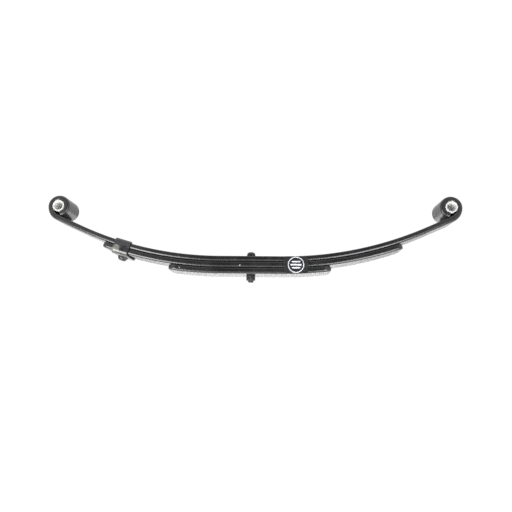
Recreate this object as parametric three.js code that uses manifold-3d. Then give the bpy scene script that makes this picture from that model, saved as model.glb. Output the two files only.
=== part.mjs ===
// Three-leaf double-eye trailer leaf spring, in millimetres.
// +X runs along the spring, +Y across the leaves, +Z up (towards the eyes).
// The origin is where the centre bolt's axis meets the underside of the third leaf.
import * as THREE from "three";
import Module from "manifold-3d";

const wasm = await Module();
wasm.setup();
const { Manifold, Mesh: SolidMesh } = wasm;

// Driving dimensions
const EYE_SPAN = 641.35; // centre to centre of the two eyes
const LEAF_WIDTH = 44.45;
const MAIN_THICK = 9.0;
const SHORT_THICK = 9.5; // second and third leaves
const LEAF_GAP = 0.3; // between neighbouring leaves
const EDGE_ROUND = 1.7; // rounded long edges of every leaf
const SEAT_HALF = 50; // half length of the flat seat
const BOLT_CLEAR = 12; // the seat's clear flats start this far from the centre bolt
const ARCH_RADIUS = 563; // top surface of the main leaf, outside the seat
const ARCH_END = 278; // the main leaf runs straight from here to the eye
const EYE_RISE = 82.3; // eye centre above the main leaf's top at the seat
const EYE_BORE_R = 9.8;
const EYE_WALL = 8.1;
const EYE_END_DEG = 255; // direction, from the eye's centre, of the strip's cut end
const SECOND_HALF = 240.8; // half length of the second leaf
const SECOND_CORNER = 9; // rounded corners at its ends, seen from above
const SECOND_TIP_ROUND = 3.4; // rounding of its ends, seen from the side
const THIRD_LEFT = 131.5; // reach of the third leaf towards the clip
const THIRD_RIGHT = 127.5;
const THIRD_CORNER = 5; // clipped corners at its ends
const THIRD_TIP_ROUND = 2.7;

const BUSH_R = 9.5;
const BUSH_BORE_R = 7.15;
const BUSH_LENGTH = 46;

const BOLT_R = 4.75;
const BOLT_HEAD_R = 7;
const BOLT_HEAD_HIGH = 9.5;
const BOLT_TAIL = -12; // lower end of the centre bolt
const NUT_ACROSS_FLATS = 14.3;
const NUT_HIGH = 8.3;
const CLEARANCE = 0.3; // between a fastener and what it passes through or sits on

const CLIP_X = -207; // middle of the rebound clip
const CLIP_WIDTH = 26; // along the leaf
const CLIP_THICK = 2.8;
const CLIP_SIDE_GAP = 0.4;
const CLIP_DROP = 1.3; // between the second leaf and the strap below it
const CLIP_LIP = 13; // how far each ear folds over the main leaf
const CLIP_BEND_R = 5; // outside of the bends
const RIVET_R = 4;
const RIVET_HEAD_R = 8.3;
const RIVET_HEAD_HIGH = 6.6;

const LABEL_X = 72.5;
const LABEL_LONG = 38;
const LABEL_HIGH = 27;
const LABEL_THICK = 0.5;

const HINGE_X = 80; // each arm turns here, at a quarter of the half length
const HINGE_CUT_R = 16; // the arms' inner ends are round about the hinge
const HINGE_GAP = 0.3;

// Derived heights
const secondTop = MAIN_THICK + LEAF_GAP; // depths below the main leaf's top surface
const secondBottom = secondTop + SHORT_THICK;
const thirdTop = secondBottom + LEAF_GAP;
const packHigh = thirdTop + SHORT_THICK;
const hingeZ = packHigh / 2 + (HINGE_X - SEAT_HALF) ** 2 / (2 * ARCH_RADIUS);
const eyeCentre = new THREE.Vector2(EYE_SPAN / 2, packHigh + EYE_RISE);

// Materials
const paint = new THREE.MeshStandardMaterial({ color: 0x1b1b1d, roughness: 0.28, metalness: 0.3 });
const clipPaint = new THREE.MeshStandardMaterial({ color: 0x29282a, roughness: 0.35, metalness: 0.4 });
const boltSteel = new THREE.MeshStandardMaterial({ color: 0x232325, roughness: 0.45, metalness: 0.6 });
const nylon = new THREE.MeshStandardMaterial({ color: 0xe9e9e4, roughness: 0.5, metalness: 0 });
const decal = new THREE.MeshStandardMaterial({ color: 0xd8d8dc, roughness: 0.4, metalness: 0 });

// ---- Solids

function solidOf(geometry) {
  const flat = geometry.index ? geometry.toNonIndexed() : geometry;
  const position = flat.getAttribute("position").array;
  const keys = new Map();
  const points = [];
  const triangles = [];
  for (let i = 0; i < position.length; i += 3) {
    const corner = [position[i], position[i + 1], position[i + 2]];
    const key = corner.map((v) => Math.round(v * 1e4)).join(",");
    if (!keys.has(key)) {
      keys.set(key, points.length / 3);
      points.push(...corner);
    }
    triangles.push(keys.get(key));
  }
  const kept = [];
  for (let i = 0; i < triangles.length; i += 3) {
    const [a, b, c] = triangles.slice(i, i + 3);
    if (a !== b && b !== c && c !== a) kept.push(a, b, c);
  }
  return new Manifold(
    new SolidMesh({
      numProp: 3,
      vertProperties: new Float32Array(points),
      triVerts: new Uint32Array(kept),
    }),
  );
}

function geometryOf(solid) {
  const mesh = solid.getMesh();
  const geometry = new THREE.BufferGeometry();
  geometry.setAttribute("position", new THREE.BufferAttribute(mesh.vertProperties, 3));
  geometry.setIndex(new THREE.BufferAttribute(mesh.triVerts, 1));
  const faceted = geometry.toNonIndexed();
  faceted.computeVertexNormals();
  return faceted;
}

// A closed outline in the XZ plane, extruded across the spring and centred on y = 0.
function acrossSpring(outline, width, round = 0) {
  const geometry = new THREE.ExtrudeGeometry(new THREE.Shape(outline), {
    depth: width - 2 * round,
    bevelEnabled: round > 0,
    bevelThickness: round,
    bevelSize: round,
    bevelOffset: -round,
    bevelSegments: 2,
  });
  geometry.rotateX(Math.PI / 2);
  geometry.translate(0, width / 2 - round, 0);
  return geometry;
}

// A turned piece about the Z axis, from [radius, height] pairs listed upwards.
function turned(profile, segments = 48) {
  const points = profile.map(([r, z]) => new THREE.Vector2(r, z));
  return new THREE.LatheGeometry(points, segments).rotateX(Math.PI / 2);
}

function cylinderAlongY(radius, x, z) {
  const geometry = new THREE.CylinderGeometry(radius, radius, 3 * LEAF_WIDTH, 96);
  return solidOf(geometry.translate(x, 0, z));
}

// ---- The arch: points on a leaf surface a given depth below the main leaf's top

function archPoint(x, depth) {
  const reach = Math.abs(x);
  if (reach <= SEAT_HALF) return new THREE.Vector2(x, packHigh - depth);
  const angle = Math.asin((reach - SEAT_HALF) / (ARCH_RADIUS + depth));
  const rise = (ARCH_RADIUS + depth) * (1 - Math.cos(angle));
  return new THREE.Vector2(x, packHigh - depth + rise);
}

// From the seat out to one end, with a clear flat length beside the bolt.
function archPath(reach, depth, step = 9) {
  const side = Math.sign(reach);
  const outer = Math.abs(reach) - SEAT_HALF;
  const count = Math.ceil(outer / step);
  const points = [archPoint(side * BOLT_CLEAR, depth)];
  for (let i = 0; i <= count; i += 1) {
    points.push(archPoint(side * (SEAT_HALF + (outer * i) / count), depth));
  }
  return points;
}

// ---- Main leaf: the right half's strip, from the seat's middle to the cut end of the eye

function mainLeafRightSide() {
  const slope = Math.asin((ARCH_END - SEAT_HALF) / ARCH_RADIUS);
  const along = new THREE.Vector2(Math.cos(slope), Math.sin(slope));
  const up = new THREE.Vector2(-along.y, along.x);
  const archEnd = archPoint(ARCH_END, 0);
  // The lead-in bend starts square below the eye's centre line and runs into the eye.
  const lift = eyeCentre.clone().sub(archEnd).dot(up);
  const leadTurn = THREE.MathUtils.degToRad(62);
  const leadRadius = EYE_BORE_R + (lift - EYE_BORE_R) / (1 - Math.cos(leadTurn));
  const leadStart = slope - Math.PI / 2;
  const eyeStart = leadStart + leadTurn;
  const outward = new THREE.Vector2(Math.cos(eyeStart), Math.sin(eyeStart));
  const leadCentre = eyeCentre.clone().addScaledVector(outward, EYE_BORE_R - leadRadius);

  const inner = [archPoint(BOLT_CLEAR, 0)];
  const outer = [archPoint(BOLT_CLEAR, MAIN_THICK)];
  for (let x = SEAT_HALF; x < ARCH_END; x += (ARCH_END - SEAT_HALF) / 26) {
    inner.push(archPoint(x, 0));
    const angle = Math.asin((x - SEAT_HALF) / ARCH_RADIUS);
    const down = new THREE.Vector2(Math.sin(angle), -Math.cos(angle));
    outer.push(archPoint(x, 0).addScaledVector(down, MAIN_THICK));
  }
  const bend = (centre, radius, from, to, count, wallFrom, wallTo) => {
    for (let i = 0; i <= count; i += 1) {
      const t = i / count;
      const angle = from + (to - from) * t;
      const wall = wallFrom + (wallTo - wallFrom) * t;
      const ray = new THREE.Vector2(Math.cos(angle), Math.sin(angle));
      inner.push(centre.clone().addScaledVector(ray, radius));
      outer.push(centre.clone().addScaledVector(ray, radius + wall));
    }
  };
  bend(leadCentre, leadRadius, leadStart, eyeStart, 10, MAIN_THICK, EYE_WALL);
  inner.pop();
  outer.pop();
  const eyeEnd = THREE.MathUtils.degToRad(EYE_END_DEG);
  bend(eyeCentre, EYE_BORE_R, eyeStart, eyeEnd, 44, EYE_WALL, EYE_WALL);
  return { inner, outer };
}

function mainLeafOutline() {
  const { inner, outer } = mainLeafRightSide();
  const mirrored = (points) => points.map((p) => new THREE.Vector2(-p.x, p.y));
  return [
    ...outer,
    ...inner.slice().reverse(),
    ...mirrored(inner),
    ...mirrored(outer).reverse(),
  ];
}

// ---- Second and third leaves: bent bars with trimmed ends

function planShape(left, right, corner, rounded) {
  const w = LEAF_WIDTH / 2;
  const shape = new THREE.Shape();
  const turn = (x, y, nextX, nextY) => {
    if (rounded) shape.quadraticCurveTo(x, y, nextX, nextY);
    else shape.lineTo(nextX, nextY);
  };
  shape.moveTo(-left + corner, -w);
  shape.lineTo(right - corner, -w);
  turn(right, -w, right, -w + corner);
  shape.lineTo(right, w - corner);
  turn(right, w, right - corner, w);
  shape.lineTo(-left + corner, w);
  turn(-left, w, -left, w - corner);
  shape.lineTo(-left, -w + corner);
  turn(-left, -w, -left + corner, -w);
  return shape;
}

// One end of a leaf seen from the side: its two edges are rounded by tipRound.
function tip(side, reach, topDepth, tipRound) {
  const quarter = [0.2, 0.45, 0.7, 0.9].map((t) => (t * Math.PI) / 2);
  const corner = (angle, edgeDepth, inward) =>
    archPoint(
      side * (reach - tipRound * (1 - Math.sin(angle))),
      edgeDepth + inward * tipRound * (1 - Math.cos(angle)),
    );
  const bottomDepth = topDepth + SHORT_THICK;
  return [
    ...archPath(side * (reach - tipRound), bottomDepth),
    ...quarter.map((angle) => corner(angle, bottomDepth, -1)),
    ...quarter.reverse().map((angle) => corner(angle, topDepth, 1)),
    ...archPath(side * (reach - tipRound), topDepth).reverse(),
  ];
}

function shortLeaf(left, right, topDepth, corner, rounded, tipRound) {
  const outline = [
    ...tip(1, right, topDepth, tipRound),
    ...tip(-1, left, topDepth, tipRound).reverse(),
  ];
  const bar = solidOf(acrossSpring(outline, LEAF_WIDTH, EDGE_ROUND));
  const plan = new THREE.ExtrudeGeometry(planShape(left, right, corner, rounded), {
    depth: 200,
    bevelEnabled: false,
    curveSegments: 6,
  });
  return bar.intersect(solidOf(plan.translate(0, 0, -50)));
}

// ---- Cutting a leaf at the two hinges

function cutAtHinges(leaf) {
  const outboard = (side) =>
    solidOf(
      new THREE.BoxGeometry(1000, 200, 1000).translate(side * (HINGE_X + 500), 0, 0),
    );
  const arm = (side) => {
    const hub = cylinderAlongY(HINGE_CUT_R, side * HINGE_X, hingeZ);
    return leaf.intersect(outboard(side).add(hub));
  };
  let seat = leaf;
  for (const side of [-1, 1]) {
    const hub = cylinderAlongY(HINGE_CUT_R + HINGE_GAP, side * HINGE_X, hingeZ);
    seat = seat.subtract(outboard(side).add(hub));
  }
  return { seat, left: arm(-1), right: arm(1) };
}

const boltHole = solidOf(
  new THREE.CylinderGeometry(BOLT_R + CLEARANCE, BOLT_R + CLEARANCE, 200, 40).rotateX(Math.PI / 2),
);

// ---- Rebound clip and its rivet, built square and then set on the leaf at CLIP_X

const clipUnder = -(secondBottom + CLIP_DROP + CLIP_THICK);
const clipAngle = Math.asin((Math.abs(CLIP_X) - SEAT_HALF) / ARCH_RADIUS);

function setOnLeaf(geometry) {
  const seat = archPoint(CLIP_X, 0);
  return geometry.rotateY(clipAngle).translate(seat.x, 0, seat.y);
}

function clipGeometry() {
  const side = LEAF_WIDTH / 2 + CLIP_SIDE_GAP + CLIP_THICK;
  const top = CLEARANCE + CLIP_THICK;
  const bottom = clipUnder;
  const lipEnd = side - CLIP_LIP;
  const bendR = CLIP_BEND_R;
  const shape = new THREE.Shape();
  shape.moveTo(-side + bendR, bottom);
  shape.lineTo(side - bendR, bottom);
  shape.absarc(side - bendR, bottom + bendR, bendR, -Math.PI / 2, 0, false);
  shape.lineTo(side, top - bendR);
  shape.absarc(side - bendR, top - bendR, bendR, 0, Math.PI / 2, false);
  shape.lineTo(lipEnd, top);
  shape.lineTo(lipEnd, top - CLIP_THICK);
  const inR = bendR - CLIP_THICK;
  shape.lineTo(side - bendR, top - CLIP_THICK);
  shape.absarc(side - bendR, top - bendR, inR, Math.PI / 2, 0, true);
  shape.lineTo(side - CLIP_THICK, bottom + bendR);
  shape.absarc(side - bendR, bottom + bendR, inR, 0, -Math.PI / 2, true);
  shape.lineTo(-side + bendR, bottom + CLIP_THICK);
  shape.absarc(-side + bendR, bottom + bendR, inR, -Math.PI / 2, -Math.PI, true);
  shape.lineTo(-side + CLIP_THICK, top - bendR);
  shape.absarc(-side + bendR, top - bendR, inR, Math.PI, Math.PI / 2, true);
  shape.lineTo(-lipEnd, top - CLIP_THICK);
  shape.lineTo(-lipEnd, top);
  shape.lineTo(-side + bendR, top);
  shape.absarc(-side + bendR, top - bendR, bendR, Math.PI / 2, Math.PI, false);
  shape.lineTo(-side, bottom + bendR);
  shape.absarc(-side + bendR, bottom + bendR, bendR, Math.PI, 1.5 * Math.PI, false);
  const strap = new THREE.ExtrudeGeometry(shape, {
    depth: CLIP_WIDTH - 0.8,
    bevelThickness: 0.4,
    bevelSize: 0.4,
    bevelOffset: -0.4,
    bevelSegments: 1,
    curveSegments: 8,
  });
  // The strap's cross-section lies in the YZ plane and runs along X.
  strap.translate(0, 0, -CLIP_WIDTH / 2 + 0.4);
  strap.rotateX(Math.PI / 2).rotateZ(Math.PI / 2);
  const hole = new THREE.CylinderGeometry(RIVET_R + CLEARANCE, RIVET_R + CLEARANCE, 20, 32);
  hole.rotateX(Math.PI / 2).translate(0, 0, bottom);
  return geometryOf(solidOf(strap).subtract(solidOf(hole)));
}

function rivetGeometry() {
  const head = clipUnder - CLEARANCE;
  return turned([
    [0, head - RIVET_HEAD_HIGH],
    [0.45 * RIVET_HEAD_R, head - RIVET_HEAD_HIGH + 0.25],
    [0.7 * RIVET_HEAD_R, head - RIVET_HEAD_HIGH + 1.1],
    [0.88 * RIVET_HEAD_R, head - RIVET_HEAD_HIGH + 2.8],
    [RIVET_HEAD_R, head - 0.8],
    [RIVET_HEAD_R, head],
    [RIVET_R, head],
    [RIVET_R, -secondTop - 3.2],
    [RIVET_R + 2.2, -secondTop - CLEARANCE],
    [0, -secondTop - CLEARANCE],
  ]);
}

function rivetHole() {
  return turned([
    [0, -secondBottom - 4],
    [RIVET_R + CLEARANCE, -secondBottom - 4],
    [RIVET_R + CLEARANCE, -secondTop - 3.2],
    [RIVET_R + CLEARANCE + 2.9, -secondTop + 0.4],
    [0, -secondTop + 0.4],
  ]);
}

// ---- Centre bolt and nut

function boltGeometry() {
  const seat = packHigh + CLEARANCE;
  const top = seat + BOLT_HEAD_HIGH;
  return turned([
    [0, BOLT_TAIL],
    [BOLT_R - 1.2, BOLT_TAIL],
    [BOLT_R, BOLT_TAIL + 1.2],
    [BOLT_R, seat],
    [BOLT_HEAD_R, seat],
    [BOLT_HEAD_R, top - 4.6],
    [BOLT_HEAD_R - 0.5, top - 2.4],
    [BOLT_HEAD_R - 1.6, top - 0.8],
    [BOLT_HEAD_R - 3.4, top],
    [0, top],
  ]);
}

function nutGeometry() {
  const cornerR = NUT_ACROSS_FLATS / Math.sqrt(3);
  const top = -CLEARANCE;
  const bottom = top - NUT_HIGH;
  const hex = new THREE.CylinderGeometry(cornerR, cornerR, NUT_HIGH, 6);
  hex.rotateX(Math.PI / 2).translate(0, 0, (top + bottom) / 2);
  const flatR = NUT_ACROSS_FLATS / 2;
  const chamfers = turned([
    [0, bottom],
    [flatR - 0.2, bottom],
    [cornerR + 0.2, bottom + 0.9],
    [cornerR + 0.2, top - 0.9],
    [flatR - 0.2, top],
    [0, top],
  ]);
  const hole = new THREE.CylinderGeometry(BOLT_R + CLEARANCE, BOLT_R + CLEARANCE, 40, 40);
  const body = solidOf(hex).intersect(solidOf(chamfers));
  return geometryOf(body.subtract(solidOf(hole.rotateX(Math.PI / 2))));
}

// ---- Eye bushes and label

function bushGeometry() {
  const half = BUSH_LENGTH / 2;
  const soft = 0.6;
  const ring = turned(
    [
      [BUSH_BORE_R, -half + soft],
      [BUSH_BORE_R + soft, -half],
      [BUSH_R - soft, -half],
      [BUSH_R, -half + soft],
      [BUSH_R, half - soft],
      [BUSH_R - soft, half],
      [BUSH_BORE_R + soft, half],
      [BUSH_BORE_R, half - soft],
      [BUSH_BORE_R, -half + soft],
    ],
    64,
  );
  return ring.rotateX(Math.PI / 2);
}

function labelGeometry() {
  const r = 3;
  const x = LABEL_LONG / 2;
  const z = LABEL_HIGH / 2;
  const shape = new THREE.Shape();
  shape.moveTo(-x + r, -z);
  shape.lineTo(x - r, -z);
  shape.absarc(x - r, -z + r, r, -Math.PI / 2, 0, false);
  shape.lineTo(x, z - r);
  shape.absarc(x - r, z - r, r, 0, Math.PI / 2, false);
  shape.lineTo(-x + r, z);
  shape.absarc(-x + r, z - r, r, Math.PI / 2, Math.PI, false);
  shape.lineTo(-x, -z + r);
  shape.absarc(-x + r, -z + r, r, Math.PI, 1.5 * Math.PI, false);
  return new THREE.ExtrudeGeometry(shape, {
    depth: LABEL_THICK,
    bevelEnabled: false,
    curveSegments: 6,
  }).rotateX(Math.PI / 2);
}

// ---- Assembly

const spring = new THREE.Group();

function place(name, geometry, material, x = 0, y = 0, z = 0) {
  const mesh = new THREE.Mesh(geometry, material);
  mesh.name = name;
  mesh.position.set(x, y, z);
  spring.add(mesh);
  return mesh;
}

const rivetClearance = solidOf(setOnLeaf(rivetHole()));
const secondLeaf = shortLeaf(
  SECOND_HALF,
  SECOND_HALF,
  secondTop,
  SECOND_CORNER,
  true,
  SECOND_TIP_ROUND,
);
const thirdLeaf = shortLeaf(
  THIRD_LEFT,
  THIRD_RIGHT,
  thirdTop,
  THIRD_CORNER,
  false,
  THIRD_TIP_ROUND,
);
const leaves = {
  main_leaf: solidOf(acrossSpring(mainLeafOutline(), LEAF_WIDTH, EDGE_ROUND)),
  second_leaf: secondLeaf.subtract(rivetClearance),
  third_leaf: thirdLeaf,
};
for (const [name, leaf] of Object.entries(leaves)) {
  const { seat, left, right } = cutAtHinges(leaf.subtract(boltHole));
  place(name + "_seat", geometryOf(seat), paint);
  place(name + "_left", geometryOf(left), paint);
  place(name + "_right", geometryOf(right), paint);
}

place("left_bush", bushGeometry(), nylon, -eyeCentre.x, 0, eyeCentre.y);
place("right_bush", bushGeometry(), nylon, eyeCentre.x, 0, eyeCentre.y);
place("center_bolt", boltGeometry(), boltSteel);
place("center_bolt_nut", nutGeometry(), boltSteel);
place("rebound_clip", setOnLeaf(clipGeometry()), clipPaint);
place("clip_rivet", setOnLeaf(rivetGeometry()), boltSteel);
const labelRise = archPoint(LABEL_X, packHigh / 2).y;
place("label", labelGeometry(), decal, LABEL_X, -LEAF_WIDTH / 2 - LEAF_GAP, labelRise);

export default spring;
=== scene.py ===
"""Looks for the three-leaf trailer leaf spring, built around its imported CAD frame."""

import math

import bmesh
import bpy
from mathutils import Matrix, Vector


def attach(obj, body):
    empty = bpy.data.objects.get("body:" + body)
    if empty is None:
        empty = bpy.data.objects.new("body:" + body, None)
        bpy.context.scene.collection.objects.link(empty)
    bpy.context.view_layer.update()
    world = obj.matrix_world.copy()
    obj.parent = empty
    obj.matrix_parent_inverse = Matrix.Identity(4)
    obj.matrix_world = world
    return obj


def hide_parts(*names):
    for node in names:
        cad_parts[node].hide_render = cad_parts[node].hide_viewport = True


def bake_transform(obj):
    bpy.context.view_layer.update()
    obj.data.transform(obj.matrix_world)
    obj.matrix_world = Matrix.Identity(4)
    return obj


MM = 0.001

# Dimensions in millimetres, the same as the CAD part's
EYE_X = 320.675
LEAF_WIDTH = 44.45
MAIN_THICK = 9.0
SHORT_THICK = 9.5
EDGE_UPPER = 2.0  # rolled edges of the bars, tighter above than below
EDGE_LOWER = 3.7
LEAF_GAP = 0.3
SEAT_HALF = 50.0
ARCH_RADIUS = 563.0
ARCH_END = 278.0
EYE_RISE = 82.3
EYE_BORE_R = 9.8
EYE_WALL = 8.1
EYE_END_DEG = 255.0
LEAD_TURN_DEG = 62.0
SECOND_TOP = MAIN_THICK + LEAF_GAP
THIRD_TOP = SECOND_TOP + SHORT_THICK + LEAF_GAP
PACK_HIGH = THIRD_TOP + SHORT_THICK
SECOND_HALF = 240.8
THIRD_LEFT = 131.5
THIRD_RIGHT = 127.5
TIP_CORNER = {"second": 9.0, "third": 5.0}  # corner size seen from above
TIP_ROUND = {"second": 3.4, "third": 2.7}  # nose radius seen from the side
BUSH_R = 9.5
BUSH_BORE_R = 7.15
BUSH_HALF = 23.0
BOLT_R = 4.75
BOLT_HEAD_R = 7.0
BOLT_HEAD_HIGH = 9.5
BOLT_TAIL = -12.0
THREAD_PITCH = 1.5875
THREAD_TOP = 2.0
THREAD_DEPTH = 0.62
NUT_ACROSS_FLATS = 14.3
NUT_BOTTOM = -8.6
NUT_BORE_R = 5.0
CLEARANCE = 0.3
CLIP_X = -207.0
CLIP_WIDTH = 26.0
CLIP_THICK = 2.8
CLIP_SIDE_GAP = 0.4
CLIP_DROP = 1.3
CLIP_LIP = 11.4  # how far each ear reaches in over the leaf
CLIP_UPPER_BEND = 3.8
CLIP_LOWER_BEND = 6.2
CLIP_EDGE_R = 0.9
LABEL_X = 72.5
LABEL_HALF_LONG = 19.0
LABEL_HALF_HIGH = 13.5
LABEL_CORNER = 3.0
RING_OUTER_R = 12.9
RING_INNER_R = 11.5
AXIS_R = 0.05  # turned solids end this close to their axis

# Camera: the photographer's standpoint, in metres and degrees
CAMERA_PLACE = (0.0415, -0.7527, -0.1084)
CAMERA_TURN = 2.56
CAMERA_PITCH = 10.59
CAMERA_ROLL = 0.95
CAMERA_LENS = 32.8

# Spots mixed into the clip's enamel colour: centre and radius in metres, colour. The first, near
# black on the lower front, is painted shade; the second is a pale patch further left.
CLIP_PALE_AND_SHADE_SPOTS = (
    # Painted shade: a near-black spot on the clip's lower front
    ((-0.2060, -0.0250, 0.0355), 0.0095, (0.001, 0.001, 0.001)),
    ((-0.2182, -0.0250, 0.0390), 0.0075, (0.14, 0.14, 0.125)),
)

# Strength of the world's light by direction
WORLD_FRONT = 0.06
WORLD_BACK = 0.8
WORLD_TOP = 1.1
WORLD_SIDE = 1.1
WORLD_SEEN = 1.05

FLOOR_HEIGHT = -0.5
FLOOR_REACH = 3.2
FLOOR_SEEN = 1.08  # the floor's own white, for the camera only
FLOOR_SEEN_SHARE = 0.88


# ---- Mesh helpers


def mesh_object(name, vertices, faces, wear_and_bore_shade=None):
    """A piece from points in millimetres; its per-point values are stored on its points for the
    materials: edge wear, and on the bushes the bore's painted shade.

    Faces with more than four corners are flat end caps with sharp edges.
    """
    mesh = bpy.data.meshes.new(name)
    mesh.from_pydata([Vector(v) * MM for v in vertices], [], faces)
    if wear_and_bore_shade is not None:
        layer = mesh.attributes.new("wear_and_bore_shade", "FLOAT", "POINT")
        layer.data.foreach_set("value", wear_and_bore_shade)
    fix = bmesh.new()
    fix.from_mesh(mesh)
    for face in fix.faces:
        face.smooth = True
    bmesh.ops.recalc_face_normals(fix, faces=fix.faces)
    for face in fix.faces:
        if len(face.verts) > 4:
            face.smooth = False
            for edge in face.edges:
                edge.smooth = False
    fix.to_mesh(mesh)
    fix.free()
    piece = bpy.data.objects.new(name, mesh)
    bpy.context.scene.collection.objects.link(piece)
    return piece


def loft(name, rings, wear=None, closed=False):
    """Skins a list of equal rings. Each ring is a list of points; the ends are capped."""
    count = len(rings[0])
    vertices = [point for ring in rings for point in ring]
    faces = []
    spans = len(rings) if closed else len(rings) - 1
    for i in range(spans):
        a = i * count
        b = ((i + 1) % len(rings)) * count
        for j in range(count):
            k = (j + 1) % count
            faces.append((a + j, a + k, b + k, b + j))
    if not closed:
        faces.append(tuple(reversed(range(count))))
        faces.append(tuple(range((len(rings) - 1) * count, len(rings) * count)))
    values = None
    if wear is not None:
        values = [value for ring in wear for value in ring]
    return mesh_object(name, vertices, faces, values)


def turned(name, profile, segments=96, wear=None):
    """A closed turned solid about Z from a loop of (radius, height) pairs, all off the axis."""
    rings = []
    for i in range(segments):
        angle = 2 * math.pi * i / segments
        rings.append([(r * math.cos(angle), r * math.sin(angle), z) for r, z in profile])
    weights = [wear] * segments if wear else None
    return loft(name, rings, weights, closed=True)


def soften(profile, radius, steps=4):
    """Rounds every corner of a closed outline of 2-D points by about the given radius."""
    result = []
    count = len(profile)
    for i, here in enumerate(profile):
        here = Vector(here)
        before = Vector(profile[i - 1]) - here
        after = Vector(profile[(i + 1) % count]) - here
        cut = min(radius, 0.45 * before.length, 0.45 * after.length)
        start = here + before.normalized() * cut
        end = here + after.normalized() * cut
        for step in range(steps + 1):
            t = step / steps
            result.append(start.lerp(here, t).lerp(here.lerp(end, t), t))
    return result


# ---- The arch


def arch_point(x, depth):
    reach = abs(x)
    if reach <= SEAT_HALF:
        return Vector((x, PACK_HIGH - depth))
    radius = ARCH_RADIUS + depth
    angle = math.asin((reach - SEAT_HALF) / radius)
    return Vector((x, PACK_HIGH - depth + radius * (1 - math.cos(angle))))


def arch_station(x, depth, thick):
    """Top and bottom points of a leaf at x, square to the arch."""
    top = arch_point(x, depth)
    reach = abs(x)
    angle = 0.0
    if reach > SEAT_HALF:
        angle = math.asin((reach - SEAT_HALF) / (ARCH_RADIUS + depth))
    down = Vector((math.copysign(math.sin(angle), x), -math.cos(angle)))
    return top, top + down * thick


def section(half_width, thick, steps=8):
    """The leaf's cross-section as (across, depth, wear): rounded edges with support points."""
    limit = min(half_width - 0.5, thick / 2 - 0.4)
    upper = min(EDGE_UPPER, limit)
    lower = min(EDGE_LOWER, limit)
    points = []
    corners = [
        (half_width - upper, upper, upper, -90),
        (half_width - lower, thick - lower, lower, 0),
        (-half_width + lower, thick - lower, lower, 90),
        (-half_width + upper, upper, upper, 180),
    ]
    for across, depth, radius, start in corners:
        for step in range(steps + 1):
            angle = math.radians(start + 90 * step / steps)
            wear = 1 - abs(2 * step / steps - 1)
            y = across + radius * math.cos(angle)
            d = depth + radius * math.sin(angle)
            points.append((y, d, wear))
    padded = []
    for i, (y, d, wear) in enumerate(points):
        padded.append((y, d, wear))
        if i % (steps + 1) == steps:
            nxt = points[(i + 1) % len(points)]
            for share in (0.06, 0.35, 0.65, 0.94):
                middle = (y + (nxt[0] - y) * share, d + (nxt[1] - d) * share, 0.0)
                padded.append(middle)
    return padded


def leaf_ring(top, bottom, shape, thick):
    ring = []
    for across, depth, _ in shape:
        point = top.lerp(bottom, depth / thick)
        ring.append((point.x, across, point.y))
    return ring


def leaf(name, stations):
    """Stations are (top, bottom, half width, thickness); the last three are the rubbed tip."""
    rings = []
    wear = []
    for top, bottom, half, thick in stations:
        shape = section(half, thick)
        rings.append(leaf_ring(top, bottom, shape, thick))
        wear.append([w for _, _, w in shape])
    for i in (-3, -2, -1):
        wear[i] = [max(w, 0.4) for w in wear[i]]
    return loft(name, rings, wear)


def spaced(start, end, step):
    count = max(1, math.ceil(abs(end - start) / step))
    return [start + (end - start) * i / count for i in range(count + 1)]


def main_leaf_half(side):
    """From the middle of the seat to the strip's cut end in the eye."""
    half = LEAF_WIDTH / 2
    slope = math.asin((ARCH_END - SEAT_HALF) / ARCH_RADIUS)
    along = Vector((math.cos(slope), math.sin(slope)))
    up = Vector((-along.y, along.x))
    eye = Vector((EYE_X, PACK_HIGH + EYE_RISE))
    lift = (eye - arch_point(ARCH_END, 0)).dot(up)
    turn = math.radians(LEAD_TURN_DEG)
    lead_radius = EYE_BORE_R + (lift - EYE_BORE_R) / (1 - math.cos(turn))
    lead_start = slope - math.pi / 2
    eye_start = lead_start + turn
    outward = Vector((math.cos(eye_start), math.sin(eye_start)))
    lead_centre = eye + outward * (EYE_BORE_R - lead_radius)

    pairs = [(*arch_station(x, 0, MAIN_THICK), MAIN_THICK) for x in spaced(0, SEAT_HALF, 12)]
    for x in spaced(SEAT_HALF, ARCH_END, 8)[1:]:
        pairs.append((*arch_station(x, 0, MAIN_THICK), MAIN_THICK))

    def bend(centre, radius, start, end, count, wall_start, wall_end):
        for i in range(1, count + 1):
            t = i / count
            angle = start + (end - start) * t
            wall = wall_start + (wall_end - wall_start) * t
            ray = Vector((math.cos(angle), math.sin(angle)))
            pairs.append((centre + ray * radius, centre + ray * (radius + wall), wall))

    lead_from = lead_centre + Vector((math.cos(lead_start), math.sin(lead_start))) * lead_radius
    straight_from = pairs[-1]
    down = -up
    for t in (0.33, 0.67, 1.0):
        top = straight_from[0].lerp(lead_from, t)
        pairs.append((top, top + down * MAIN_THICK, MAIN_THICK))
    bend(lead_centre, lead_radius, lead_start, eye_start, 12, MAIN_THICK, EYE_WALL)
    bend(eye, EYE_BORE_R, eye_start, math.radians(EYE_END_DEG), 56, EYE_WALL, EYE_WALL)

    stations = [(top, bottom, half, wall) for top, bottom, wall in pairs]
    # The cut end has a softened edge.
    top, bottom, _, wall = stations[-1]
    middle = top.lerp(bottom, 0.5)
    ahead = Vector((-(bottom - top).y, (bottom - top).x)).normalized()
    for inset, forward in ((0.25, 0.35), (0.7, 0.5)):
        thin = 1 - 2 * inset / wall
        stations.append(
            (
                middle + (top - middle) * thin + ahead * forward,
                middle + (bottom - middle) * thin + ahead * forward,
                half - inset,
                wall * thin,
            )
        )
    name = "main_leaf_half_" + ("left" if side < 0 else "right")
    return leaf(name, mirror(stations, side))


def mirror(stations, side):
    flip = Vector((side, 1))
    return [(top * flip, bottom * flip, half, thick) for top, bottom, half, thick in stations]


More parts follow.
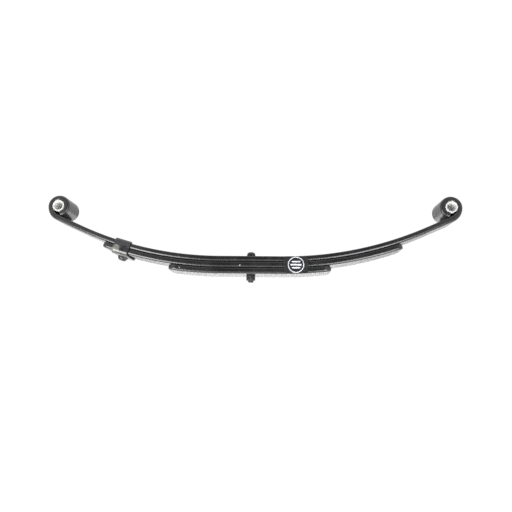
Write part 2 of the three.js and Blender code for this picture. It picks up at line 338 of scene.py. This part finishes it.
def short_leaf_half(name, side, depth, reach, corner, rounded, tip_round):
    """Corners are rounded or clipped seen from above; tip_round softens the nose from the side."""
    half = LEAF_WIDTH / 2
    xs = spaced(0, SEAT_HALF, 12) + spaced(SEAT_HALF, reach - corner, 8)[1:]
    xs += [reach - corner + (corner - tip_round) * i / 5 for i in range(1, 5)]
    xs += [reach - tip_round * (1 - math.sin(math.pi / 2 * i / 7)) for i in range(8)]
    stations = []
    for x in xs:
        left = reach - x
        width = half
        if left < corner:
            if rounded:
                width = half - corner + math.sqrt(corner**2 - (corner - left) ** 2)
            else:
                width = half - corner + left
        inset = 0.0
        if left < tip_round:
            inset = tip_round - math.sqrt(max(0.0, tip_round**2 - (tip_round - left) ** 2))
        top, bottom = arch_station(x, depth, SHORT_THICK)
        thin = inset / SHORT_THICK
        thick = SHORT_THICK - 2 * inset
        stations.append((top.lerp(bottom, thin), bottom.lerp(top, thin), width, thick))
    return leaf(name, mirror(stations, side))


# ---- Clip, rivet, bolt, nut, bushes and label


def on_leaf(piece):
    """Sets a piece built square about the main leaf's top onto the leaf at CLIP_X."""
    seat = arch_point(CLIP_X, 0)
    angle = math.asin((abs(CLIP_X) - SEAT_HALF) / ARCH_RADIUS)
    turn = Matrix.Rotation(angle, 4, "Y")
    place = Matrix.Translation((seat.x * MM, 0, seat.y * MM))
    piece.data.transform(place @ turn)
    return piece


def rebound_clip():
    """A strap bent round both leaves, with its ears folded over the main leaf."""
    side = LEAF_WIDTH / 2 + CLIP_SIDE_GAP + CLIP_THICK / 2
    top = CLEARANCE + CLIP_THICK / 2
    bottom = -(SECOND_TOP + SHORT_THICK + CLIP_DROP + CLIP_THICK / 2)
    lip = side - CLIP_LIP
    low = bottom + CLIP_LOWER_BEND
    high = top - CLIP_UPPER_BEND
    path = []

    def corner(y, z, radius, start, end):
        for i in range(11):
            angle = math.radians(start + (end - start) * i / 10)
            ray = Vector((math.cos(angle), math.sin(angle)))
            path.append((Vector((y, z)) + ray * radius, angle))

    def cheek(face, heights):
        """A side of the strap, a little crowned between its bends."""
        for z in heights:
            t = (z - low) / (high - low)
            lean = 0.16 * (2 * t - 1)
            angle = lean if face > 0 else math.pi - lean
            path.append((Vector((face * (side - 0.25 * (2 * t - 1) ** 2), z)), angle))

    up = math.pi / 2
    heights = [low + (high - low) * t for t in (0.12, 0.35, 0.65, 0.88)]
    for y in (-lip, -lip - 2.5, -lip - 5):
        path.append((Vector((y, top)), up))
    corner(-side + CLIP_UPPER_BEND, high, CLIP_UPPER_BEND, 90, 180)
    cheek(-1, reversed(heights))
    corner(-side + CLIP_LOWER_BEND, low, CLIP_LOWER_BEND, 180, 270)
    for y in (-12, -4, 4, 12):
        path.append((Vector((y, bottom)), 1.5 * math.pi))
    corner(side - CLIP_LOWER_BEND, low, CLIP_LOWER_BEND, 270, 360)
    cheek(1, heights)
    corner(side - CLIP_UPPER_BEND, high, CLIP_UPPER_BEND, 0, 90)
    for y in (lip + 5, lip + 2.5, lip):
        path.append((Vector((y, top)), up))

    shape = []
    half = CLIP_WIDTH / 2
    thick = CLIP_THICK
    round_r = CLIP_EDGE_R
    for across, out, start in (
        (half - round_r, thick / 2 - round_r, 0),
        (-half + round_r, thick / 2 - round_r, 90),
        (-half + round_r, -thick / 2 + round_r, 180),
        (half - round_r, -thick / 2 + round_r, 270),
    ):
        for i in range(4):
            angle = math.radians(start + 30 * i)
            wear = 1.0 if 0 < i < 3 else 0.3
            x = across + round_r * math.cos(angle)
            shape.append((x, out + round_r * math.sin(angle), wear))
        if start in (0, 180):
            ahead = -1 if start == 0 else 1
            for share in (0.96, 0.5, 0.0, -0.5, -0.96):
                x = -ahead * share * (half - round_r)
                shape.append((x, out + round_r * (1 if start == 0 else -1), 0.0))
    rings = []
    wear = []
    for i, (centre, angle) in enumerate(path):
        outward = Vector((math.cos(angle), math.sin(angle)))
        end = min(i, len(path) - 1 - i)
        # The ears' cut ends are eased.
        squeeze = 0.55 if end == 0 else 1.0
        narrow = {0: 0.9, 1: 0.98}.get(end, 1.0)
        ring = []
        for x, out, _ in shape:
            p = centre + outward * (out * squeeze)
            ring.append((x * narrow, p.x, p.y))
        rings.append(ring)
        bend_wear = 0.35 if abs(math.sin(2 * angle)) > 0.4 else 0.0
        wear.append([max(w, bend_wear) for _, _, w in shape])
    return on_leaf(loft("clip_strap", rings, wear))


def clip_rivet():
    """Round-headed rivet under the clip, ending in a countersunk head inside the second leaf."""
    under = -(SECOND_TOP + SHORT_THICK + CLIP_DROP + CLIP_THICK)
    profile = [(AXIS_R, under - 6.6), (2.8, under - 6.55), (4.9, under - 6.1), (6.3, under - 5.1)]
    profile += [(7.2, under - 3.7), (7.9, under - 2.2), (8.3, under - 0.9), (8.2, under - 0.3)]
    profile += [(7.8, under - 0.1), (4.1, under - 0.1), (4.0, under + 0.4)]
    profile += [(4.0, -SECOND_TOP - 3.2)]
    profile += [(6.1, -SECOND_TOP - 0.4), (5.8, -SECOND_TOP - 0.3)]
    profile += [(AXIS_R, -SECOND_TOP - 0.3)]
    wear = [0.1, 0.1, 0.3, 0.6, 0.4, 0.3, 0.9, 0.9, 0.5, 0, 0, 0, 0.5, 0.5, 0]
    return on_leaf(turned("clip_rivet_head", profile, 64, wear))


def center_bolt():
    """Round-headed bolt with a rolled thread on its lower length."""
    seat = PACK_HIGH + CLEARANCE
    top = seat + BOLT_HEAD_HIGH
    rings = []
    wear = []
    segments = 72
    upper = [(AXIS_R, top), (2.6, top - 0.05), (4.2, top - 0.4), (5.4, top - 1.1), (6.2, top - 2.1)]
    upper += [(6.8, top - 3.4), (BOLT_HEAD_R, top - 4.8), (BOLT_HEAD_R, seat + 0.7)]
    upper += [(6.85, seat + 0.2), (6.5, seat), (BOLT_R, seat), (BOLT_R, seat - 0.6)]
    upper += [(BOLT_R, THREAD_TOP)]
    upper_wear = [0, 0, 0.2, 0.7, 0.5, 0.2, 0, 0.3, 0.9, 0.6, 0, 0, 0]
    for i in range(segments):
        angle = 2 * math.pi * i / segments
        ring = [(r * math.cos(angle), r * math.sin(angle), z) for r, z in upper]
        values = list(upper_wear)
        for step in range(1, 57):
            z = THREAD_TOP - step * 0.25
            if z < BOLT_TAIL + 0.05:
                break
            phase = (z / THREAD_PITCH + i / segments) % 1.0
            groove = THREAD_DEPTH * min(1.0, abs(phase - 0.5) * 2.4)
            fade = min(1.0, max(0.0, (1.2 - z) / 1.2))
            taper = max(0.0, (-10.8 - z)) * 0.9
            r = BOLT_R - groove * fade - taper
            ring.append((r * math.cos(angle), r * math.sin(angle), z))
            values.append(0.5 if groove < 0.2 else 0.0)
        ring.append((AXIS_R * math.cos(angle), AXIS_R * math.sin(angle), BOLT_TAIL))
        values.append(0.0)
        rings.append(ring)
        wear.append(values)
    return loft("center_bolt_body", rings, wear, closed=True)


def hex_nut():
    """Chamfered hexagon nut with a countersunk hole; its corners face across the spring."""
    flat = NUT_ACROSS_FLATS / 2
    bottom = NUT_BOTTOM
    top = -CLEARANCE
    bore = NUT_BORE_R
    heights = [top, top - 0.25, top - 0.6, top - 1.1, top - 1.8]
    heights += [bottom + 2.0, bottom + 1.2, bottom + 0.7, bottom + 0.3, bottom]
    segments = 96
    rings = []
    wear = []
    for i in range(segments):
        angle = 2 * math.pi * (i + 0.5) / segments
        sector = (angle + math.pi / 6) % (math.pi / 3) - math.pi / 6
        hexagon = min(flat / math.cos(sector), flat * 1.128)
        ring = []
        values = []
        for z in heights:
            to_end = min(top - z, z - bottom)
            cone = flat - 0.25 + to_end * 1.9
            ring.append((min(hexagon, cone), z))
            values.append(0.9 if abs(sector) > 0.42 or cone < hexagon else 0.1)
        ring += [(bore + 0.9, bottom), (bore, bottom + 0.9), (bore, top - 0.9), (bore + 0.9, top)]
        values += [0.5, 0.2, 0.2, 0.5]
        rings.append([(r * math.cos(angle), r * math.sin(angle), z) for r, z in ring])
        wear.append(values)
    return loft("center_nut", rings, wear, closed=True)


def bush(name, side):
    """Moulded nylon bush: a plain sleeve with soft rims; its bore is marked for a duller finish and
    a painted shade grey.
    """
    half = BUSH_HALF
    bore = BUSH_BORE_R
    outline = [(bore, -half + 1.2), (7.7, -half + 0.1), (7.9, -half), (9.1, -half)]
    outline += [(BUSH_R, -half + 0.4), (BUSH_R, 0.0), (BUSH_R, half - 0.4), (9.1, half)]
    outline += [(7.9, half), (7.7, half - 0.1), (bore, half - 1.2), (bore, 0.0)]
    profile = [(p.x, p.y) for p in soften(outline, 0.3, 3)]
    # Marks the bore for its painted shade grey and its rougher finish.
    bore_shade_mask = [1.0 if r < 7.6 and abs(y) < half - 0.5 else 0.0 for r, y in profile]
    piece = turned(name, profile, 96, bore_shade_mask)
    eye = Matrix.Translation((side * EYE_X * MM, 0, (PACK_HIGH + EYE_RISE) * MM))
    piece.data.transform(eye @ Matrix.Rotation(math.pi / 2, 4, "X"))
    return piece


def label_plate():
    """A sticker laid over the leaf edges, slightly drawn in at the two gaps."""
    long_half = LABEL_HALF_LONG
    high_half = LABEL_HALF_HIGH
    corner = LABEL_CORNER
    columns = 24
    rows = 36
    front = []
    for row in range(rows + 1):
        z = -high_half + 2 * high_half * row / rows
        over = max(0.0, abs(z) - (high_half - corner))
        reach = long_half - corner + math.sqrt(max(0.0, corner**2 - over**2))
        line = []
        for column in range(columns + 1):
            x = reach * (2 * column / columns - 1)
            groove = sum(math.exp(-(((z - gap) / 0.7) ** 2)) for gap in (-4.6, 5.3))
            line.append((x, -0.5 + 0.22 * groove, z))
        front.append(line)
    count = columns + 1
    vertices = [p for line in front for p in line]
    vertices += [(x, -0.02, z) for x, _, z in vertices]
    back = count * (rows + 1)
    faces = []
    for row in range(rows):
        for column in range(columns):
            a = row * count + column
            faces.append((a, a + 1, a + count + 1, a + count))
            faces.append((back + a, back + a + count, back + a + count + 1, back + a + 1))
    for row in range(rows):
        a, b = row * count, (row + 1) * count
        faces.append((a, b, back + b, back + a))
        a, b = a + columns, b + columns
        faces.append((b, a, back + a, back + b))
    for column in range(columns):
        a = column
        faces.append((a + 1, a, back + a, back + a + 1))
        a = rows * count + column
        faces.append((a, a + 1, back + a + 1, back + a))
    piece = mesh_object("label_sticker", vertices, faces)
    return at_label(piece)


def at_label(piece):
    rise = arch_point(LABEL_X, PACK_HIGH / 2).y
    place = (LABEL_X * MM, -(LEAF_WIDTH / 2 + LEAF_GAP) * MM, rise * MM)
    piece.data.transform(Matrix.Translation(place))
    return piece


def label_marks():
    """A plain pale ring round three bars, as raised print."""
    pieces = []

    def slab(name, outline, inner=None):
        outer = [(x, z) for x, z in outline]
        rings = []
        if inner is None:
            rings = [[(x, y, z) for x, z in outer] for y in (-0.56, -0.30)]
            return at_label(loft(name, rings))
        for (x, z), (u, v) in zip(outer, inner):
            rings.append([(x, -0.56, z), (u, -0.56, v), (u, -0.25, v), (x, -0.25, z)])
        return at_label(loft(name, rings, closed=True))

    def circle(radius):
        return [
            (radius * math.cos(2 * math.pi * i / 64), radius * math.sin(2 * math.pi * i / 64))
            for i in range(64)
        ]

    pieces.append(slab("label_ring", circle(RING_OUTER_R), circle(RING_INNER_R)))
    bars = (
        ("label_bar_a", 4.9, 6.6, 2.2),
        ("label_bar_b", 0.0, 8.8, 2.6),
        ("label_bar_c", -4.9, 6.6, 2.2),
    )
    for name, z, reach, high in bars:
        low = z - high / 2
        top = z + high / 2
        box = [(-reach, low), (reach, low), (reach, top), (-reach, top)]
        pieces.append(slab(name, [(p.x, p.y) for p in soften(box, 0.7, 3)]))
    return pieces


# ---- Materials


class Nodes:
    """A short way to wire a material's nodes."""

    def __init__(self, name):
        self.material = bpy.data.materials.new(name)
        self.material.use_nodes = True
        self.tree = self.material.node_tree
        self.shader = self.tree.nodes["Principled BSDF"]
        self.place = self.add("ShaderNodeTexCoord").outputs["Object"]

    def add(self, kind, **settings):
        node = self.tree.nodes.new(kind)
        for key, value in settings.items():
            setattr(node, key, value)
        return node

    def link(self, source, target):
        self.tree.links.new(source, target)

    def noise(self, scale, detail=4.0, rough=0.55, stretch=(1, 1, 1)):
        mapping = self.add("ShaderNodeMapping")
        mapping.inputs["Scale"].default_value = stretch
        self.link(self.place, mapping.inputs["Vector"])
        node = self.add("ShaderNodeTexNoise")
        node.inputs["Scale"].default_value = scale
        node.inputs["Detail"].default_value = detail
        node.inputs["Roughness"].default_value = rough
        self.link(mapping.outputs["Vector"], node.inputs["Vector"])
        return node.outputs["Fac"]

    def span(self, value, low, high, to_low=0.0, to_high=1.0):
        node = self.add("ShaderNodeMapRange")
        self.link(value, node.inputs["Value"])
        node.inputs["From Min"].default_value = low
        node.inputs["From Max"].default_value = high
        node.inputs["To Min"].default_value = to_low
        node.inputs["To Max"].default_value = to_high
        return node.outputs["Result"]

    def math(self, operation, a, b):
        node = self.add("ShaderNodeMath", operation=operation, use_clamp=True)
        for socket, value in zip(node.inputs, (a, b)):
            if isinstance(value, (int, float)):
                socket.default_value = value
            else:
                self.link(value, socket)
        return node.outputs[0]

    def mix(self, factor, a, b):
        node = self.add("ShaderNodeMix", data_type="RGBA")
        self.link(factor, node.inputs["Factor"])
        for socket, value in ((node.inputs[6], a), (node.inputs[7], b)):
            if isinstance(value, tuple):
                socket.default_value = (*value, 1.0)
            else:
                self.link(value, socket)
        return node.outputs[2]

    def spot(self, centre, radius):
        """A soft ball-shaped mask about a point of the piece, in metres."""
        node = self.add("ShaderNodeVectorMath", operation="DISTANCE")
        self.link(self.place, node.inputs[0])
        node.inputs[1].default_value = centre
        return self.span(node.outputs["Value"], radius, 0.6 * radius)

    def wear(self):
        # Per-point values: edge wear on most pieces, the bore's painted shade on the bushes.
        return self.add("ShaderNodeAttribute", attribute_name="wear_and_bore_shade").outputs["Fac"]

    def bump(self, *layers):
        """Each layer is (height, strength, distance in metres)."""
        normal = None
        for height, strength, distance in layers:
            node = self.add("ShaderNodeBump")
            node.inputs["Strength"].default_value = strength
            node.inputs["Distance"].default_value = distance
            self.link(height, node.inputs["Height"])
            if normal is not None:
                self.link(normal, node.inputs["Normal"])
            normal = node.outputs["Normal"]
        self.link(normal, self.shader.inputs["Normal"])

    def set(self, **values):
        for key, value in values.items():
            socket = self.shader.inputs[key.replace("_", " ")]
            if isinstance(value, (int, float)):
                socket.default_value = value
            elif isinstance(value, tuple):
                socket.default_value = (*value, 1.0)
            else:
                self.link(value, socket)


def painted_steel(name, base, lighter, worn, gloss=0.2, chips=0.60, spots=()):
    """Dipped black enamel on spring steel: mottled, rubbed at the edges, chipped here and there.

    Spots are (centre, radius, colour) patches mixed into the colour: pale patches, or painted shade
    where the colour is near black.
    """
    n = Nodes(name)
    colour = n.mix(n.span(n.noise(28, 5), 0.35, 0.7), base, lighter)
    # A near-black spot mixed in here is painted shade.
    for centre, radius, spot_colour in spots:
        mask = n.math("MULTIPLY", n.spot(centre, radius), n.span(n.noise(260, 3), 0.38, 0.56))
        colour = n.mix(mask, colour, spot_colour)
    dust = n.span(n.noise(1500, 2, 0.6), 0.72, 0.80, 0.0, 0.35)
    patches = n.span(n.noise(45, 3), 0.48, 0.64)
    colour = n.mix(n.math("MULTIPLY", dust, patches), colour, (0.22, 0.22, 0.22))
    rub = n.math("MULTIPLY", n.wear(), n.span(n.noise(210, 6, 0.7), chips, chips + 0.12))
    rub = n.math("MULTIPLY", rub, n.span(n.noise(17, 3), 0.40, 0.60))
    colour = n.mix(rub, colour, worn)
    chip = n.span(n.noise(75, 3, 0.6), 0.715, 0.735)
    colour = n.mix(chip, colour, (0.26, 0.25, 0.22))
    rust = n.math("MULTIPLY", n.span(n.noise(90, 5, 0.7), 0.68, 0.78), n.wear())
    colour = n.mix(rust, colour, (0.08, 0.045, 0.026))
    bare = n.math("MAXIMUM", rub, chip)
    rough = n.span(n.noise(60, 4), 0.3, 0.75, gloss, gloss + 0.14)
    rough = n.math("ADD", rough, n.math("MULTIPLY", bare, 0.25))
    n.set(Base_Color=colour, Roughness=rough, Metallic=0.0, IOR=1.5)
    n.shader.inputs["Coat Weight"].default_value = 0.3
    n.shader.inputs["Coat Roughness"].default_value = 0.24
    n.bump(
        (n.noise(140, 3), 0.38, 0.0007),
        (n.noise(900, 2), 0.10, 0.0002),
        (n.math("SUBTRACT", 1.0, bare), 0.35, 0.00015),
    )
    return n.material


def dark_steel(name):
    """Black-oxide fastener steel with rubbed corners."""
    n = Nodes(name)
    colour = n.mix(n.span(n.noise(160, 5), 0.35, 0.7), (0.008, 0.008, 0.009), (0.022, 0.022, 0.024))
    edge = n.math("MULTIPLY", n.wear(), n.span(n.noise(500, 5, 0.7), 0.5, 0.6))
    colour = n.mix(edge, colour, (0.18, 0.175, 0.17))
    rough = n.span(n.noise(300, 4), 0.3, 0.7, 0.28, 0.46)
    n.set(Base_Color=colour, Roughness=rough, Metallic=0.35)
    n.bump((n.noise(700, 3), 0.3, 0.0002))
    return n.material


def nylon(name):
    """White moulded nylon with faint scuffs; the bore gets its own grey, a painted shade tone,
    paler than the outside.
    """
    n = Nodes(name)
    grime = n.span(n.noise(220, 5, 0.65), 0.55, 0.8, 0.0, 0.5)
    outside = n.math("SUBTRACT", 1.0, n.wear())
    colour = n.mix(grime, (0.44, 0.44, 0.43), (0.37, 0.365, 0.345))
    # Painted shade: the bore's own grey is a tone set for the shade inside the bore.
    bore_shade_grey = n.mix(n.span(n.noise(40, 2), 0.35, 0.65), (0.54, 0.54, 0.53), (0.58, 0.575, 0.56))
    colour = n.mix(n.wear(), colour, bore_shade_grey)
    rough = n.span(n.noise(400, 3), 0.3, 0.7, 0.42, 0.58)
    rough = n.math("MAXIMUM", rough, n.math("MULTIPLY", n.wear(), 0.8))
    n.set(Base_Color=colour, Roughness=rough)
    n.bump((n.math("MULTIPLY", n.noise(900, 2), outside), 0.08, 0.00015))
    return n.material


def printed(name, low, high, rough_low):
    """Matt vinyl or ink for the label."""
    n = Nodes(name)
    colour = n.mix(n.span(n.noise(350, 4), 0.35, 0.7), low, high)
    rough = n.span(n.noise(600, 2), 0.3, 0.7, rough_low, rough_low + 0.12)
    n.set(Base_Color=colour, Roughness=rough)
    n.shader.inputs["Specular IOR Level"].default_value = 0.25
    n.bump((n.noise(900, 2), 0.1, 0.0001))
    return n.material


def finish_piece(piece, material, nodes, body=None, arm=None):
    piece.data.materials.clear()
    piece.data.materials.append(material)
    if arm:
        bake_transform(piece)
    else:
        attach(piece, body)
    if nodes:
        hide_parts(*nodes)


# ---- Build

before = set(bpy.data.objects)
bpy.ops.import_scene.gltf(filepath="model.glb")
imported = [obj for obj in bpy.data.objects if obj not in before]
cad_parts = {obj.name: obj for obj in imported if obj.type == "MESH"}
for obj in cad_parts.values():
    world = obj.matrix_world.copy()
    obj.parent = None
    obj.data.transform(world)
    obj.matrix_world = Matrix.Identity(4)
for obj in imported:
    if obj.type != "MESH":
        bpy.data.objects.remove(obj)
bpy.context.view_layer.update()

black = painted_steel(
    "black_paint", (0.004, 0.004, 0.0045), (0.010, 0.010, 0.011), (0.09, 0.09, 0.09)
)
clip_black = painted_steel(
    "clip_paint_and_shade",
    (0.010, 0.010, 0.011),
    (0.028, 0.027, 0.030),
    (0.26, 0.25, 0.22),
    gloss=0.2,
    chips=0.52,
    spots=CLIP_PALE_AND_SHADE_SPOTS,
)
fastener = dark_steel("fastener_steel")
white_nylon = nylon("white_nylon")
sticker = printed("label_ground", (0.007, 0.008, 0.008), (0.014, 0.015, 0.015), 0.42)
print_white = printed("label_print", (0.42, 0.42, 0.47), (0.56, 0.56, 0.60), 0.45)

for side, arm, word in ((-1, "left_arm", "left"), (1, "right_arm", "right")):
    third_reach = THIRD_LEFT if side < 0 else THIRD_RIGHT
    leaves = {
        "main_leaf": main_leaf_half(side),
        "second_leaf": short_leaf_half(
            "second_leaf_half_" + word,
            side,
            SECOND_TOP,
            SECOND_HALF,
            TIP_CORNER["second"],
            True,
            TIP_ROUND["second"],
        ),
        "third_leaf": short_leaf_half(
            "third_leaf_half_" + word,
            side,
            THIRD_TOP,
            third_reach,
            TIP_CORNER["third"],
            False,
            TIP_ROUND["third"],
        ),
    }
    for leaf_name, piece in leaves.items():
        arm_node = leaf_name + "_" + word
        nodes = [arm_node, leaf_name + "_seat"] if side < 0 else [arm_node]
        finish_piece(piece, black, nodes, arm=arm)
    sleeve = bush(word + "_sleeve", side)
    finish_piece(sleeve, white_nylon, [word + "_bush"], body=arm)

finish_piece(rebound_clip(), clip_black, ["rebound_clip"], arm="left_arm")
finish_piece(clip_rivet(), fastener, ["clip_rivet"], arm="left_arm")
finish_piece(center_bolt(), fastener, ["center_bolt"], body="seat")
finish_piece(hex_nut(), fastener, ["center_bolt_nut"], body="seat")
finish_piece(label_plate(), sticker, ["label"], body="seat")
for mark in label_marks():
    finish_piece(mark, print_white, [], body="seat")


# ---- Stage, light and camera


def floor():
    mesh = bpy.data.meshes.new("floor")
    reach = FLOOR_REACH
    corners = [(-reach, -reach, 0), (reach, -reach, 0), (reach, reach, 0), (-reach, reach, 0)]
    mesh.from_pydata(corners, [], [(0, 1, 2, 3)])
    plane = bpy.data.objects.new("floor", mesh)
    bpy.context.scene.collection.objects.link(plane)
    plane.location.z = FLOOR_HEIGHT
    n = Nodes("floor_white")
    colour = n.mix(n.span(n.noise(3, 2), 0.3, 0.7), (0.93, 0.93, 0.93), (0.95, 0.95, 0.95))
    n.set(Base_Color=colour, Roughness=0.7)
    # The floor looks white all over, however unevenly it is lit.
    glow = n.add("ShaderNodeEmission")
    glow.inputs["Strength"].default_value = FLOOR_SEEN
    blend = n.add("ShaderNodeMixShader")
    camera_ray = n.add("ShaderNodeLightPath").outputs["Is Camera Ray"]
    n.link(n.math("MULTIPLY", camera_ray, FLOOR_SEEN_SHARE), blend.inputs[0])
    n.link(n.shader.outputs[0], blend.inputs[1])
    n.link(glow.outputs[0], blend.inputs[2])
    n.link(blend.outputs[0], n.tree.nodes["Material Output"].inputs["Surface"])
    mesh.materials.append(n.material)


def area_light(name, place, target, size, power, colour=(1, 1, 1)):
    light = bpy.data.lights.new(name, "AREA")
    light.shape = "RECTANGLE"
    light.size, light.size_y = size
    light.energy = power
    light.color = colour
    lamp = bpy.data.objects.new(name, light)
    lamp.location = place
    aim = Vector(target) - Vector(place)
    lamp.rotation_mode = "QUATERNION"
    lamp.rotation_quaternion = aim.to_track_quat("-Z", "Y")
    bpy.context.scene.collection.objects.link(lamp)
    return lamp


def world_light():
    """White to look at; as a light it is dim in front of the spring and bright elsewhere."""
    world = bpy.data.worlds.new("studio")
    bpy.context.scene.world = world
    world.use_nodes = True
    tree = world.node_tree
    background = tree.nodes["Background"]
    background.inputs["Color"].default_value = (1.0, 1.0, 1.0, 1.0)
    split = tree.nodes.new("ShaderNodeSeparateXYZ")
    tree.links.new(tree.nodes.new("ShaderNodeTexCoord").outputs["Generated"], split.inputs[0])

    def ramp(source, low, high, dim, bright):
        node = tree.nodes.new("ShaderNodeMapRange")
        node.interpolation_type = "SMOOTHSTEP"
        for socket, value in zip(node.inputs[1:5], (low, high, dim, bright)):
            socket.default_value = value
        tree.links.new(source, node.inputs[0])
        return node.outputs["Result"]

    def combine(operation, *sources):
        node = tree.nodes.new("ShaderNodeMath")
        node.operation = operation
        for socket, source in zip(node.inputs, sources):
            tree.links.new(source, socket)
        return node.outputs[0]

    back = ramp(split.outputs["Y"], -0.6, 0.8, WORLD_FRONT, WORLD_BACK)
    top = ramp(split.outputs["Z"], 0.25, 0.95, 0.0, WORLD_TOP)
    sides = ramp(combine("ABSOLUTE", split.outputs["X"]), 0.15, 0.45, 0.0, WORLD_SIDE)
    brightest = combine("MAXIMUM", combine("MAXIMUM", back, top), sides)
    seen = tree.nodes.new("ShaderNodeMix")
    tree.links.new(tree.nodes.new("ShaderNodeLightPath").outputs["Is Camera Ray"], seen.inputs[0])
    tree.links.new(brightest, seen.inputs[2])
    seen.inputs[3].default_value = WORLD_SEEN
    tree.links.new(seen.outputs[0], background.inputs["Strength"])


def camera():
    data = bpy.data.cameras.new("camera")
    data.sensor_width = 36.0
    data.lens = CAMERA_LENS
    data.clip_start = 0.01
    data.clip_end = 100.0
    body = bpy.data.objects.new("camera", data)
    turn = Matrix.Rotation(math.radians(CAMERA_TURN), 4, "Z")
    pitch = Matrix.Rotation(math.radians(90 + CAMERA_PITCH), 4, "X")
    roll = Matrix.Rotation(math.radians(CAMERA_ROLL), 4, "Z")
    body.matrix_world = Matrix.Translation(CAMERA_PLACE) @ turn @ pitch @ roll
    bpy.context.scene.collection.objects.link(body)
    bpy.context.scene.camera = body


floor()
world_light()
floor_wash = area_light("floor_wash", (0.0, 2.0, 1.3), (0, 2.0, -0.5), (5.5, 2.2), 150)
floor_wash.visible_glossy = False
warm = (1.0, 1.0, 0.97)
cool = (0.97, 0.98, 1.0)
area_light("low_left", (-0.455, -0.46, -0.46), (-0.27, -0.1, 0.05), (0.41, 1.10), 17, warm)
area_light("low_right", (0.40, -0.46, -0.46), (0.27, -0.1, 0.05), (0.38, 1.10), 12, cool)
area_light("soft_top", (-0.3, -0.6, 1.5), (0, 0, 0.05), (1.6, 1.2), 3)
camera()
bpy.context.scene.view_settings.view_transform = "Standard"
